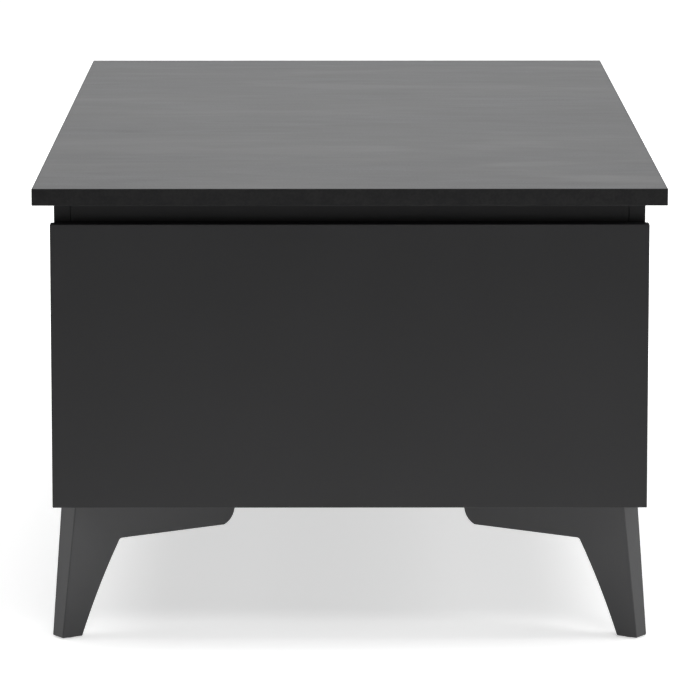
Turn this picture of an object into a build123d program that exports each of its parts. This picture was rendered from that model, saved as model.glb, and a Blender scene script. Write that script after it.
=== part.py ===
from build123d import *
import os
from math import atan, cos, degrees, radians, sin, sqrt

# Lift-top coffee table, millimetres. X runs across the table, Y along it, Z up, and the origin is
# on the floor under the middle. The drawer opens towards -Y and the top swings up and towards +X.

# ---- overall sizes -------------------------------------------------------------------------------
table_width = 600.0
table_length = 1200.0
table_height = 440.0
board = 16.0  # chipboard of the top, the carcass and the fronts
edge_ease = 0.8  # eased edge of the foil-wrapped fronts and the carcass boards

# ---- tabletop ------------------------------------------------------------------------------------
edging = 1.0  # plastic edge band round the top
slab_ease = 0.5
slab_bottom = table_height - board
slab_overhang = 16.0  # past the outer face of the end fronts, on every side

# ---- fronts and carcass --------------------------------------------------------------------------
front_half_width = table_width / 2 - slab_overhang
front_face = table_length / 2 - slab_overhang  # distance of the end fronts' faces from the middle
front_back = front_face - board
front_bottom = 131.0
grip_gap = 20.0  # finger gap between the tabletop and the drawer front
front_top = slab_bottom - grip_gap
front_reveal = 3.0  # the fronts stand this much past the carcass sides
lid_gap = 1.5
drawer_gap = 1.5

side_outer = front_half_width - front_reveal
side_inner = side_outer - board
carcass_top = slab_bottom - lid_gap
carcass_bottom = front_bottom
near_edge = -(front_back - drawer_gap)  # front edges of the carcass, behind the drawer front
far_edge = front_back
floor_top = carcass_bottom + board

rail_height = 112.0  # cross rail that shows in the finger gap and carries a lift mechanism
rail_bottom = carcass_top - rail_height
rail_back = near_edge + board
cover_bottom = rail_bottom - board  # board that closes the drawer's space from above
partition_near = -116.0
partition_far = partition_near + board
wall_face = far_edge - board  # inner face of the far end wall

# ---- carcass joints: a cam lock, its bolt and a dowel --------------------------------------------
cam_radius = 7.5
cam_depth = 12.5
cam_setback = 24.0  # from the board's end to the middle of the cam
cam_bolt_radius = 3.0
dowel_radius = 4.0
dowel_length = 30.0
side_bore = 10.0  # how far bolts and dowels go into the side panels
dowel_offset = 32.0  # from a cam to the dowel beside it
cam_gap = 0.5  # between a cam and the end of its bolt
fit_gap = 0.02  # radial play of a fastener in its hole

# ---- legs: boards set diagonally under the corners -----------------------------------------------
leg_turn = 34.0  # degrees between the arm of a leg and the table's short side
foot_x = 276.0
foot_y = 573.5
foot_width = 22.5
foot_thickness = 19.0
head_thickness = 27.0
leg_lean = 16.0  # the outer edge leans out by this much, from top to foot
knee_reach = 66.0
knee_radius = 4.0
inner_bow = 1.9
arm_reach = 198.0
arm_bottom = 92.0
arm_nose = 19.5  # radius of the arm's rounded end
arm_toe = 185.5  # where the rounded end meets the arm's underside, at a slight corner
leg_ease = 1.2
glide_radius = 6.5
glide_height = 1.0
glide_peg_radius = 2.0
glide_peg_length = 9.0
leg_screw_reach = (98.0, 168.0)
leg_screw_inset = 12.5
leg_screw_radius = 2.5
leg_screw_head = 5.0
leg_screw_head_height = 3.0
leg_screw_play = 0.5  # between a leg screw's head and its counterbore
leg_screw_sink = 6.0
leg_screw_entry = 12.0  # length of the screw inside the bottom panel

# ---- drawer --------------------------------------------------------------------------------------
drawer_board = 12.0
drawer_half_width = 252.0
drawer_length = 400.0
drawer_low = 163.0
drawer_high = 273.0
drawer_floor = 3.0
drawer_floor_z = 173.0
groove_depth = 6.0
groove_play = 0.2
floor_play = 0.5  # the drawer's floor is this much short of its grooves' ends
drawer_near = -front_back
drawer_far = drawer_near + drawer_length

# ---- drawer runners: three nested steel channels -------------------------------------------------
sheet = 1.2
runner_z = 218.0
runner_setback = 0.5
inner_shortening = 1.0  # the drawer's channel is this much shorter than the cabinet's
runner_near = near_edge + runner_setback
cabinet_length = 400.0
middle_length = 385.0
cabinet_half = 22.8
middle_half = 20.0
inner_half = 16.4
cabinet_depth = 11.0
middle_depth = 7.6
inner_depth = 8.0
middle_web = 261.2
lip_drop = 2.4
runner_screw_steps = (40.0, 200.0, 360.0)

# ---- lift mechanism: two parallel arms on a wall plate, at each end ------------------------------
arm_span = 230.0
arm_half = 11.0
front_pivot = (150.0, 394.0)  # X and Z of the front arm's pivot on the wall plate
rear_pivot = (60.0, 366.0)
swing = 115.0  # degrees from closed to fully up
plate = 2.0
arm_start = 4.4  # distance of the arms from the wall
arm_thick = 3.0
rib_length = 150.0  # pressed rib that stiffens an arm
rib_half = 4.0
rib_height = 1.0
lip_width = 10.0  # bent lip along the lower edge of a wall plate
bracket_start = 9.0
bracket_width = 32.0
pivot_radius = 4.0
pivot_play = 0.05
rivet_head = 7.0
rivet_head_height = 1.6
washer_radius = 8.0
lug_reach = 35.0
lug_half = 9.0
spring_slope = 10.0  # degrees by which the spring falls towards its anchor
spring_pin_radius = 3.0
spring_pin_end = 23.0
anchor_x = -45.0
spring_line = 18.0  # distance of the spring's centre line from the wall
spring_radius = 7.0
spring_pin_head = 4.6
coil_setback = 14.0  # from a pin's middle to the first turn of the coil
hook_wire = 1.0
hook_ring = 4.4
layer_gap = 0.2  # between the arms and the heads and washers beside them
stop_radius = 3.0
stop_along = 14.0
stop_play = 0.4
base_left, base_right = -60.0, 197.0
base_low, base_high = 328.0, 413.0
base_round = 10.0
bracket_left, bracket_right = -200.0, 20.0
hanger_left, hanger_right = -192.0, -58.0
hanger_low = 350.0
hanger_round = 12.0

# ---- small screws --------------------------------------------------------------------------------
screw_radius = 2.0
screw_head = 3.8
screw_head_height = 1.8
thin_head_height = 1.0

# ---- bumpers -------------------------------------------------------------------------------------
bumper_radius = 5.0
bumper_height = 1.2
lid_bumper_spacing = 500.0
drawer_bumper_heights = (155.0, 380.0)

left_right = {"left": -1, "right": 1}
near_far = {"near": 1, "far": -1}  # sign of the way from the wall plate into the table
upright = (Align.CENTER, Align.CENTER, Align.MIN)
sunk = (Align.CENTER, Align.CENTER, Align.MAX)

os.makedirs("parts", exist_ok=True)


def keep(piece, name):
    """Labels a finished piece and writes it to its own file."""
    piece.part.label = name
    export_step(piece.part, f"parts/{name}.step")


def facing(point, direction):
    """A location at the point, with its own Z axis along the direction."""
    return Plane(origin=point, z_dir=direction).location


def span(low, high):
    """Length and middle of the stretch from low to high."""
    return high - low, (high + low) / 2


def block(x_limits, y_limits, z_limits):
    """Adds a rectangular solid between the limits to the open part."""
    (dx, x), (dy, y), (dz, z) = span(*x_limits), span(*y_limits), span(*z_limits)
    with Locations((x, y, z)):
        Box(dx, dy, dz)


def bore(seats, radius, depth):
    """Cuts round holes that start at the seats and run against their Z axes."""
    with Locations(*seats):
        Cylinder(radius, depth, align=sunk, mode=Mode.SUBTRACT)


def pan_screws(name, seats, length, radius=screw_radius, head=screw_head, height=screw_head_height):
    """Writes a group of round-headed screws whose heads stand on the seats."""
    with BuildPart() as screws:
        with Locations(*seats):
            Cylinder(radius - fit_gap, length, align=sunk)
            Cylinder(head, height, align=upright)
    keep(screws, name)


# ---- places shared by holes and fasteners --------------------------------------------------------
# Each entry is one board end: the way out of the cam's face, and the middle of the cam (Y, Z) with
# the dowel beside it.
floor_mid = carcass_bottom + board / 2
rail_mid = near_edge + board / 2
cover_mid = cover_bottom + board / 2
partition_mid = partition_near + board / 2
wall_mid = wall_face + board / 2
board_joints = {
    "bottom_panel": [((0, 0, -1), (y, floor_mid), (y + dowel_offset, floor_mid))
                     for y in (-430.0, -150.0, 130.0, 410.0)],
    "front_rail": [((0, 1, 0), (rail_mid, z), (rail_mid, z + dowel_offset)) for z in (330.0, 378.0)],
    "drawer_cover": [((0, 0, -1), (y, cover_mid), (y + dowel_offset, cover_mid))
                     for y in (-430.0, -220.0)],
    "partition": [((0, -1, 0), (partition_mid, z), (partition_mid, z + dowel_offset))
                  for z in (180.0, 248.0)],
    "end_wall": [((0, 1, 0), (wall_mid, z), (wall_mid, z + dowel_offset)) for z in (180.0, 360.0)],
}


def cam_seats(name):
    """Mouths of the cam locks in a board, at both of its ends."""
    seats = []
    for out, (y, z), _ in board_joints[name]:
        for sign in left_right.values():
            x = sign * (side_inner - cam_setback)
            seats.append(facing((x, y + out[1] * board / 2, z + out[2] * board / 2), out))
    return seats


def joint_mouths(name, which, sign):
    """Places where the bolts (1) or dowels (2) of a board cross the inner face of a side panel."""
    return [(sign * side_inner, *joint[which]) for joint in board_joints[name]]


def drill_board(name):
    """Cuts a board's holes for its cam locks, cam bolts and dowels."""
    bore(cam_seats(name), cam_radius + fit_gap, cam_depth)
    for sign in left_right.values():
        bolts = [facing(p, (sign, 0, 0)) for p in joint_mouths(name, 1, sign)]
        dowels = [facing(p, (sign, 0, 0)) for p in joint_mouths(name, 2, sign)]
        bore(bolts, cam_bolt_radius + fit_gap, cam_setback)
        bore(dowels, dowel_radius + fit_gap, dowel_length - side_bore)


def on_wall(side, along, x, z):
    """A seat on the inner face of the wall that carries a mechanism, facing into the table."""
    wall = rail_back if side > 0 else wall_face
    return facing((x, wall + side * along, z), (0, side, 0))


def flat_plane(side, along):
    """An upright sketch plane, X across and Z up, at a distance from the mechanism's wall."""
    wall = rail_back if side > 0 else wall_face
    return Plane.XZ.offset(-(wall + side * along))


base_screw_places = ((-46.0, 400.0), (-14.0, 340.0), (184.0, 340.0), (100.0, 400.0))
flange_screw_x = (-186.0, -118.0, -50.0, 6.0)
flange_screw_line = bracket_start + bracket_width / 2


def flange_seats(side, z):
    """Places of a lid bracket's screws at height z, facing down."""
    return [facing(on_wall(side, flange_screw_line, x, z).position, (0, 0, -1)) for x in flange_screw_x]


end_panel_screw_places = [(x, z) for x in (-210.0, 0.0, 210.0) for z in (175.0, 300.0)]
front_screw_places = [(x, z) for x in (-190.0, -65.0, 65.0, 190.0) for z in (200.0, 245.0)]
box_screw_heights = (186.0, 252.0)
box_screw_lines = (drawer_near + drawer_board / 2, drawer_far - drawer_board / 2)
board_entry = 10.0  # length of the small screws inside the board that they hold


# ---- carcass -------------------------------------------------------------------------------------
for side, sign in left_right.items():
    limits = sorted((sign * side_inner, sign * side_outer))
    with BuildPart() as side_panel:
        block(limits, (near_edge, far_edge), (carcass_bottom, carcass_top))
        chamfer(side_panel.edges(), edge_ease)
        for name in board_joints:
            for which, radius in ((1, cam_bolt_radius), (2, dowel_radius)):
                mouths = [facing(p, (-sign, 0, 0)) for p in joint_mouths(name, which, sign)]
                bore(mouths, radius + fit_gap, side_bore)
        runner_mouths = [facing((sign * side_inner, runner_near + step, runner_z), (-sign, 0, 0))
                         for step in runner_screw_steps]
        bore(runner_mouths, screw_radius, board_entry)
    keep(side_panel, f"side_panel_{side}")

leg_corners = {"front_left": (-1, -1), "front_right": (1, -1), "rear_left": (-1, 1), "rear_right": (1, 1)}
turn = radians(leg_turn)


def leg_axes(sx, sy):
    """Inward way of a leg's arm and the way through its thickness, away from its broad face."""
    return Vector(-sx * cos(turn), -sy * sin(turn), 0), Vector(sx * sin(turn), -sy * cos(turn), 0)


def leg_point(sx, sy, reach, depth, z):
    """A point of a leg: so far along its arm, so far into its thickness, at height z."""
    inward, through = leg_axes(sx, sy)
    return Vector(sx * foot_x, sy * foot_y, z) + inward * reach + through * depth


leg_screw_tops = [leg_point(sx, sy, reach, leg_screw_inset, carcass_bottom + leg_screw_entry)
                  for sx, sy in leg_corners.values() for reach in leg_screw_reach]

with BuildPart() as bottom_panel:
    block((-side_inner, side_inner), (near_edge, far_edge), (carcass_bottom, floor_top))
    drill_board("bottom_panel")
    bore([facing(p, (0, 0, 1)) for p in leg_screw_tops], leg_screw_radius, leg_screw_entry)
keep(bottom_panel, "bottom_panel")

with BuildPart() as front_rail:
    block((-side_inner, side_inner), (near_edge, rail_back), (rail_bottom, carcass_top))
    chamfer(front_rail.edges().filter_by(Axis.X), edge_ease)
    drill_board("front_rail")
    bore([on_wall(1, 0, x, z) for x, z in base_screw_places], screw_radius, board_entry)
keep(front_rail, "front_rail")

with BuildPart() as drawer_cover:
    block((-side_inner, side_inner), (near_edge, partition_near), (cover_bottom, rail_bottom))
    drill_board("drawer_cover")
keep(drawer_cover, "drawer_cover")

with BuildPart() as partition:
    block((-side_inner, side_inner), (partition_near, partition_far), (floor_top, rail_bottom))
    drill_board("partition")
keep(partition, "partition")

with BuildPart() as end_wall:
    block((-side_inner, side_inner), (wall_face, far_edge), (floor_top, carcass_top))
    chamfer(end_wall.edges().group_by(Axis.Z)[-1].filter_by(Axis.X), edge_ease)
    drill_board("end_wall")
    bore([on_wall(-1, 0, x, z) for x, z in base_screw_places], screw_radius, board_entry)
    bore([on_wall(-1, 0, x, z) for x, z in end_panel_screw_places], screw_radius, board)
keep(end_wall, "end_wall")

with BuildPart() as end_panel:
    block((-front_half_width, front_half_width), (front_back, front_face), (front_bottom, front_top))
    fillet(end_panel.edges(), edge_ease)
    bore([facing((x, front_back, z), (0, -1, 0)) for x, z in end_panel_screw_places],
         screw_radius, board_entry)
keep(end_panel, "end_panel")

pan_screws("end_panel_screws", [on_wall(-1, 0, x, z) for x, z in end_panel_screw_places],
           board + board_entry)

with BuildPart() as cam_locks:
    for name in board_joints:
        with Locations(*cam_seats(name)):
            Cylinder(cam_radius, cam_depth, align=sunk)
keep(cam_locks, "cam_locks")

with BuildPart() as cam_bolts:
    for name in board_joints:
        for sign in left_right.values():
            tips = [facing((x + sign * side_bore, y, z), (sign, 0, 0))
                    for x, y, z in joint_mouths(name, 1, sign)]
            with Locations(*tips):
                Cylinder(cam_bolt_radius, side_bore + cam_setback - cam_radius - cam_gap, align=sunk)
keep(cam_bolts, "cam_bolts")

with BuildPart() as carcass_dowels:
    for name in board_joints:
        for sign in left_right.values():
            tips = [facing((x + sign * side_bore, y, z), (sign, 0, 0))
                    for x, y, z in joint_mouths(name, 2, sign)]
            with Locations(*tips):
                Cylinder(dowel_radius, dowel_length, align=sunk)
keep(carcass_dowels, "carcass_dowels")

with BuildPart() as lid_bumpers:
    side_middle = (side_inner + side_outer) / 2
    with Locations(Plane.XY.offset(carcass_top)):
        with GridLocations(2 * side_middle, lid_bumper_spacing, 2, 3):
            Cylinder(bumper_radius, bumper_height, align=upright)
keep(lid_bumpers, "lid_bumpers")

with BuildPart() as drawer_bumpers:
    seats = [facing((sign * side_middle, near_edge, z), (0, -1, 0))
             for sign in left_right.values() for z in drawer_bumper_heights]
    with Locations(*seats):
        Cylinder(bumper_radius, bumper_height, align=upright)
keep(drawer_bumpers, "drawer_bumpers")

# ---- legs ----------------------------------------------------------------------------------------
back_draft = atan((head_thickness - foot_thickness) / (carcass_bottom - glide_height))
nose_height = arm_bottom + sqrt(arm_nose ** 2 - (arm_toe - arm_reach + arm_nose) ** 2)

for corner, (sx, sy) in leg_corners.items():
    inward, through = leg_axes(sx, sy)
    broad_face = Plane(origin=leg_point(sx, sy, 0, 0, 0), x_dir=inward, z_dir=inward.cross(Vector(0, 0, 1)))
    draft_normal = through * cos(back_draft) - Vector(0, 0, sin(back_draft))
    draft_plane = Plane(origin=leg_point(sx, sy, 0, foot_thickness, glide_height), z_dir=draft_normal)
    with BuildPart() as leg:
        with BuildSketch(broad_face) as outline:
            with BuildLine():
                Polyline((foot_width, glide_height), (0, glide_height), (leg_lean, carcass_bottom),
                         (arm_reach, carcass_bottom), (arm_reach, nose_height))
                RadiusArc((arm_reach, nose_height), (arm_toe, arm_bottom), arm_nose)
                Line((arm_toe, arm_bottom), (knee_reach, arm_bottom))
                SagittaArc((knee_reach, arm_bottom), (foot_width, glide_height), -inner_bow)
            make_face()
            fillet(outline.vertices().sort_by_distance((knee_reach, arm_bottom))[0], knee_radius)
        extrude(amount=-sx * sy * head_thickness)
        split(bisect_by=draft_plane, keep=Keep.BOTTOM)
        fillet(leg.edges().filter_by_position(Axis.Z, 0, carcass_bottom - fit_gap), leg_ease)
        arm_mouths = [facing(leg_point(sx, sy, reach, leg_screw_inset, arm_bottom), (0, 0, -1))
                      for reach in leg_screw_reach]
        bore(arm_mouths, leg_screw_radius, carcass_bottom - arm_bottom)
        bore(arm_mouths, leg_screw_head + leg_screw_play, leg_screw_sink)
        peg_mouth = leg_point(sx, sy, foot_width / 2, foot_thickness / 2, glide_height)
        bore([facing(peg_mouth, (0, 0, -1))], glide_peg_radius + fit_gap, glide_peg_length)
    keep(leg, f"leg_{corner}")

leg_screw_seats = [facing(leg_point(sx, sy, reach, leg_screw_inset, arm_bottom + leg_screw_sink), (0, 0, -1))
                   for sx, sy in leg_corners.values() for reach in leg_screw_reach]
leg_screw_length = carcass_bottom + leg_screw_entry - arm_bottom - leg_screw_sink
pan_screws("leg_screws", leg_screw_seats, leg_screw_length, leg_screw_radius, leg_screw_head,
           leg_screw_head_height)

with BuildPart() as foot_glides:
    feet = [leg_point(sx, sy, foot_width / 2, foot_thickness / 2, 0) for sx, sy in leg_corners.values()]
    with Locations(*feet):
        Cylinder(glide_radius, glide_height, align=upright)
        Cylinder(glide_peg_radius, glide_height + glide_peg_length, align=upright)
keep(foot_glides, "foot_glides")

# ---- tabletop ------------------------------------------------------------------------------------
with BuildPart() as top_slab:
    half_x, half_y = table_width / 2 - edging, table_length / 2 - edging
    block((-half_x, half_x), (-half_y, half_y), (slab_bottom, table_height))
    for side in near_far.values():
        bore(flange_seats(side, slab_bottom), screw_radius, board_entry)
keep(top_slab, "top_slab")

with BuildPart() as top_edging:
    block((-table_width / 2, table_width / 2), (-table_length / 2, table_length / 2),
          (slab_bottom, table_height))
    chamfer(top_edging.edges(), slab_ease)
    with Locations((0, 0, slab_bottom)):
        Box(2 * half_x, 2 * half_y, board, align=upright, mode=Mode.SUBTRACT)
keep(top_edging, "top_edging")

# ---- drawer --------------------------------------------------------------------------------------
groove_half = drawer_half_width - drawer_board + groove_depth
groove_limits = (drawer_floor_z - groove_play / 2, drawer_floor_z + drawer_floor + groove_play / 2)
inner_front_back = drawer_near + drawer_board
drawer_back_near = drawer_far - drawer_board
box_half = drawer_half_width - drawer_board


def cut_floor_groove():
    """Cuts the groove for the drawer's floor out of the open part."""
    depth, mid_y = span(inner_front_back - groove_depth, drawer_back_near + groove_depth)
    height, mid_z = span(*groove_limits)
    with Locations((0, mid_y, mid_z)):
        Box(2 * groove_half, depth, height, mode=Mode.SUBTRACT)


with BuildPart() as drawer_front:
    block((-front_half_width, front_half_width), (-front_face, -front_back), (front_bottom, front_top))
    fillet(drawer_front.edges(), edge_ease)
    bore([facing((x, -front_back, z), (0, 1, 0)) for x, z in front_screw_places], screw_radius, board_entry)
keep(drawer_front, "drawer_front")

with BuildPart() as drawer_inner_front:
    block((-box_half, box_half), (drawer_near, inner_front_back), (drawer_low, drawer_high))
    cut_floor_groove()
    bore([facing((x, inner_front_back, z), (0, 1, 0)) for x, z in front_screw_places],
         screw_radius, drawer_board)
    for sign in left_right.values():
        bore([facing((sign * box_half, box_screw_lines[0], z), (sign, 0, 0)) for z in box_screw_heights],
             screw_radius, 2 * board_entry)
keep(drawer_inner_front, "drawer_inner_front")

with BuildPart() as drawer_back:
    block((-box_half, box_half), (drawer_back_near, drawer_far), (drawer_low, drawer_high))
    cut_floor_groove()
    for sign in left_right.values():
        bore([facing((sign * box_half, box_screw_lines[1], z), (sign, 0, 0)) for z in box_screw_heights],
             screw_radius, 2 * board_entry)
keep(drawer_back, "drawer_back")

for side, sign in left_right.items():
    outer_x = sign * drawer_half_width
    limits = sorted((sign * box_half, outer_x))
    with BuildPart() as drawer_side:
        block(limits, (drawer_near, drawer_far), (drawer_low, drawer_high))
        chamfer(drawer_side.edges().group_by(Axis.Z)[-1].filter_by(Axis.Y), edge_ease)
        cut_floor_groove()
        bore([facing((outer_x, runner_near + step, runner_z), (sign, 0, 0)) for step in runner_screw_steps],
             screw_radius, board_entry)
        heads = [facing((outer_x, y, z), (sign, 0, 0)) for y in box_screw_lines for z in box_screw_heights]
        bore(heads, screw_radius, drawer_board)
        bore(heads, screw_head + fit_gap, screw_head_height)
    keep(drawer_side, f"drawer_side_{side}")

with BuildPart() as drawer_bottom:
    block((-groove_half + floor_play, groove_half - floor_play),
          (inner_front_back - groove_depth + floor_play, drawer_back_near + groove_depth - floor_play),
          (drawer_floor_z, drawer_floor_z + drawer_floor))
keep(drawer_bottom, "drawer_bottom")

pan_screws("drawer_front_screws",
           [facing((x, inner_front_back, z), (0, 1, 0)) for x, z in front_screw_places],
           drawer_board + board_entry)
pan_screws("drawer_box_screws",
           [facing((sign * (drawer_half_width - screw_head_height), y, z), (sign, 0, 0))
            for sign in left_right.values() for y in box_screw_lines for z in box_screw_heights],
           drawer_board - screw_head_height + 2 * board_entry)


# ---- runners -------------------------------------------------------------------------------------
def runner_channel(name, sign, web, depth, half, length, lips, seats):
    """Writes one channel of a runner: its web, two flanges and, where it has them, their lips."""
    mouth = web - depth if web > drawer_half_width else web + depth
    low_x, high_x = sorted((web, mouth))
    opening = 1 if mouth > web else -1
    with BuildPart() as channel:
        with BuildSketch(Plane.XZ.offset(-(runner_near + length))):
            width, middle = span(low_x, high_x)
            with Locations((sign * middle, runner_z)):
                Rectangle(width, 2 * half)
            with Locations((sign * (middle + opening * sheet), runner_z)):
                Rectangle(width, 2 * (half - sheet), mode=Mode.SUBTRACT)
            if lips:
                lip_x = sign * (mouth - opening * sheet / 2)
                with Locations(*[(lip_x, runner_z + up * (half - lip_drop / 2)) for up in (-1, 1)]):
                    Rectangle(sheet, lip_drop)
        extrude(amount=length)
        if seats:
            bore(seats, screw_radius, sheet)
    keep(channel, name)


cabinet_web_face = side_inner - sheet
inner_web_face = drawer_half_width + sheet
cabinet_seats, inner_seats = [], []
for side, sign in left_right.items():
    to_drawer = [facing((sign * cabinet_web_face, runner_near + step, runner_z), (-sign, 0, 0))
                 for step in runner_screw_steps]
    to_side = [facing((sign * inner_web_face, runner_near + step, runner_z), (sign, 0, 0))
               for step in runner_screw_steps]
    runner_channel(f"runner_cabinet_{side}", sign, side_inner, cabinet_depth, cabinet_half,
                   cabinet_length, True, to_drawer)
    runner_channel(f"runner_middle_{side}", sign, middle_web + sheet, middle_depth, middle_half,
                   middle_length, True, [])
    runner_channel(f"runner_drawer_{side}", sign, drawer_half_width, inner_depth, inner_half,
                   cabinet_length - inner_shortening, False, to_side)
    cabinet_seats += to_drawer
    inner_seats += to_side

pan_screws("runner_screws_cabinet", cabinet_seats, sheet + board_entry, height=thin_head_height)
pan_screws("runner_screws_drawer", inner_seats, sheet + board_entry, height=thin_head_height)

# ---- lift mechanism ------------------------------------------------------------------------------
front_tip = (front_pivot[0] - arm_span, front_pivot[1])
rear_tip = (rear_pivot[0] - arm_span, rear_pivot[1])
lug_angle = radians(-90.0 + spring_slope + swing / 2)
spring_pin = (front_pivot[0] + lug_reach * cos(lug_angle), front_pivot[1] + lug_reach * sin(lug_angle))
slope = radians(spring_slope)
anchor = (anchor_x, spring_pin[1] - (spring_pin[0] - anchor_x) * sin(slope) / cos(slope))
open_way = radians(180.0 - swing)  # direction of the arms when the top is up
stop_across = arm_half + stop_radius + stop_play
stop_pin = (front_pivot[0] + stop_along * cos(open_way) + stop_across * sin(open_way),
            front_pivot[1] + stop_along * sin(open_way) - stop_across * cos(open_way))


def flat_holes(places, radius):
    """Cuts round holes out of the open upright sketch."""
    with Locations(*places):
        Circle(radius, mode=Mode.SUBTRACT)


def press_rib(side, pivot, tip):
    """Adds the pressed rib on the face of an arm that looks into the table."""
    with BuildSketch(flat_plane(side, arm_start + arm_thick)) as rib:
        with Locations(((pivot[0] + tip[0]) / 2, pivot[1])):
            SlotOverall(rib_length, 2 * rib_half)
    extrude(rib.sketch, amount=-side * rib_height)


def pins(name, parts):
    """Writes round pins: parts lists (place, radius, start, end), measured from each end's wall."""
    with BuildPart() as group:
        for side in near_far.values():
            for (x, z), radius, start, end in parts:
                with Locations(on_wall(side, start, x, z)):
                    Cylinder(radius, end - start, align=upright)
    keep(group, name)


def washers(name, places, start, end):
    """Writes flat washers round the pivots, between two layers of the mechanism."""
    with BuildPart() as group:
        for side in near_far.values():
            with BuildSketch(flat_plane(side, start)):
                with Locations(*places):
                    Circle(washer_radius)
                    Circle(pivot_radius + pivot_play, mode=Mode.SUBTRACT)
            extrude(amount=-side * (end - start))
    keep(group, name)


for end_name, side in near_far.items():
    with BuildPart() as lift_base:
        with BuildSketch(flat_plane(side, 0)):
            (width, mid_x), (height, mid_z) = span(base_left, base_right), span(base_low, base_high)
            with Locations((mid_x, mid_z)):
                RectangleRounded(width, height, base_round)
            flat_holes((front_pivot, rear_pivot), pivot_radius + fit_gap)
            flat_holes((stop_pin, anchor), stop_radius + fit_gap)
            flat_holes(base_screw_places, screw_radius + fit_gap)
        extrude(amount=-side * plate)
        wall_y = on_wall(side, 0, 0, 0).position.Y
        block((base_left + base_round, base_right - base_round),
              sorted((wall_y, wall_y + side * lip_width)), (base_low, base_low + plate))
    keep(lift_base, f"lift_base_{end_name}")

    with BuildPart() as front_arm:
        with BuildSketch(flat_plane(side, arm_start)):
            with Locations(((front_pivot[0] + front_tip[0]) / 2, front_pivot[1])):
                SlotCenterToCenter(arm_span, 2 * arm_half)
            lug_middle = ((front_pivot[0] + spring_pin[0]) / 2, (front_pivot[1] + spring_pin[1]) / 2)
            with Locations(lug_middle):
                SlotCenterToCenter(lug_reach, 2 * lug_half, rotation=degrees(lug_angle))
            flat_holes((front_pivot, front_tip), pivot_radius + pivot_play)
            flat_holes((spring_pin,), spring_pin_radius + fit_gap)
        extrude(amount=-side * arm_thick)
        press_rib(side, front_pivot, front_tip)
    keep(front_arm, f"front_arm_{end_name}")

    with BuildPart() as rear_arm:
        with BuildSketch(flat_plane(side, arm_start)):
            with Locations(((rear_pivot[0] + rear_tip[0]) / 2, rear_pivot[1])):
                SlotCenterToCenter(arm_span, 2 * arm_half)
            flat_holes((rear_pivot, rear_tip), pivot_radius + pivot_play)
        extrude(amount=-side * arm_thick)
        press_rib(side, rear_pivot, rear_tip)
    keep(rear_arm, f"rear_arm_{end_name}")

    with BuildPart() as lid_bracket:
        with BuildSketch(flat_plane(side, bracket_start)) as hanger:
            (width, mid_x), (height, mid_z) = span(hanger_left, hanger_right), span(hanger_low, slab_bottom)
            with Locations((mid_x, mid_z)):
                Rectangle(width, height)
            fillet(hanger.vertices().group_by(Axis.Y)[0], hanger_round)
            flat_holes((front_tip, rear_tip), pivot_radius + fit_gap)
        extrude(amount=-side * plate)
        width, mid_x = span(bracket_left, bracket_right)
        with Locations(on_wall(side, flange_screw_line, mid_x, slab_bottom).position):
            Box(width, bracket_width, plate, align=sunk)
        bore(flange_seats(side, slab_bottom - plate), screw_radius + fit_gap, plate)
    keep(lid_bracket, f"lid_bracket_{end_name}")

    pin_end = on_wall(side, spring_line, *spring_pin).position
    anchor_end = on_wall(side, spring_line, *anchor).position
    spring_way = (anchor_end - pin_end).normalized()
    spring_length = (anchor_end - pin_end).length
    with BuildPart() as lift_spring:
        with Locations(facing(pin_end, (0, 1, 0)), facing(anchor_end, (0, 1, 0))):
            Torus(hook_ring, hook_wire)
        with Locations(facing(pin_end + spring_way * hook_ring, spring_way)):
            Cylinder(hook_wire, spring_length - 2 * hook_ring, align=upright)
        with Locations(facing(pin_end + spring_way * coil_setback, spring_way)):
            Cylinder(spring_radius, spring_length - 2 * coil_setback, align=upright)
    keep(lift_spring, f"lift_spring_{end_name}")

arm_end = arm_start + arm_thick
hanger_end = bracket_start + plate
base_pivots, lid_pivots = (front_pivot, rear_pivot), (front_tip, rear_tip)
head_start = arm_end + layer_gap
inner_head = arm_start - layer_gap
pin_head_start = spring_pin_end - rivet_head_height

pins("base_rivets", [part for place in base_pivots for part in
                     ((place, pivot_radius, 0, head_start),
                      (place, rivet_head, head_start, head_start + rivet_head_height))])
pins("lid_rivets", [part for place in lid_pivots for part in
                    ((place, rivet_head, inner_head - rivet_head_height, inner_head),
                     (place, pivot_radius, inner_head, hanger_end),
                     (place, rivet_head, hanger_end, hanger_end + rivet_head_height))])
pins("stop_pins", [(stop_pin, stop_radius, 0, arm_end)])
pins("spring_anchors", [(anchor, spring_pin_radius, 0, spring_pin_end),
                        (anchor, spring_pin_head, pin_head_start, spring_pin_end)])
pins("spring_pins", [(spring_pin, spring_pin_radius, arm_start, spring_pin_end),
                     (spring_pin, spring_pin_head, pin_head_start, spring_pin_end)])
washers("base_washers", base_pivots, plate, arm_start - layer_gap)
washers("lid_washers", lid_pivots, arm_end + layer_gap, bracket_start)

pan_screws("lift_base_screws",
           [on_wall(side, plate, x, z) for side in near_far.values() for x, z in base_screw_places],
           plate + board_entry)
pan_screws("lid_bracket_screws",
           [seat for side in near_far.values() for seat in flange_seats(side, slab_bottom - plate)],
           plate + board_entry)

print("front pivot", front_pivot, "front tip", front_tip)
print("rear pivot", rear_pivot, "rear tip", rear_tip)
print("spring pin", spring_pin, "anchor", anchor, "stop pin", stop_pin)
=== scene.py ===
"""Looks of the lift-top coffee table: finishes, fasteners, springs, floor, light and camera.

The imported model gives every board, leg and bracket. This script dresses them in procedural
finishes and puts detailed fasteners, bumpers, glides and springs in place of plain CAD solids.
Lengths are metres in the row's frame unless a name ends in _mm.
"""

import logging
import math
from dataclasses import dataclass, field
from enum import Enum
from typing import Any

import bmesh
import bpy
from mathutils import Matrix, Vector


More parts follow.
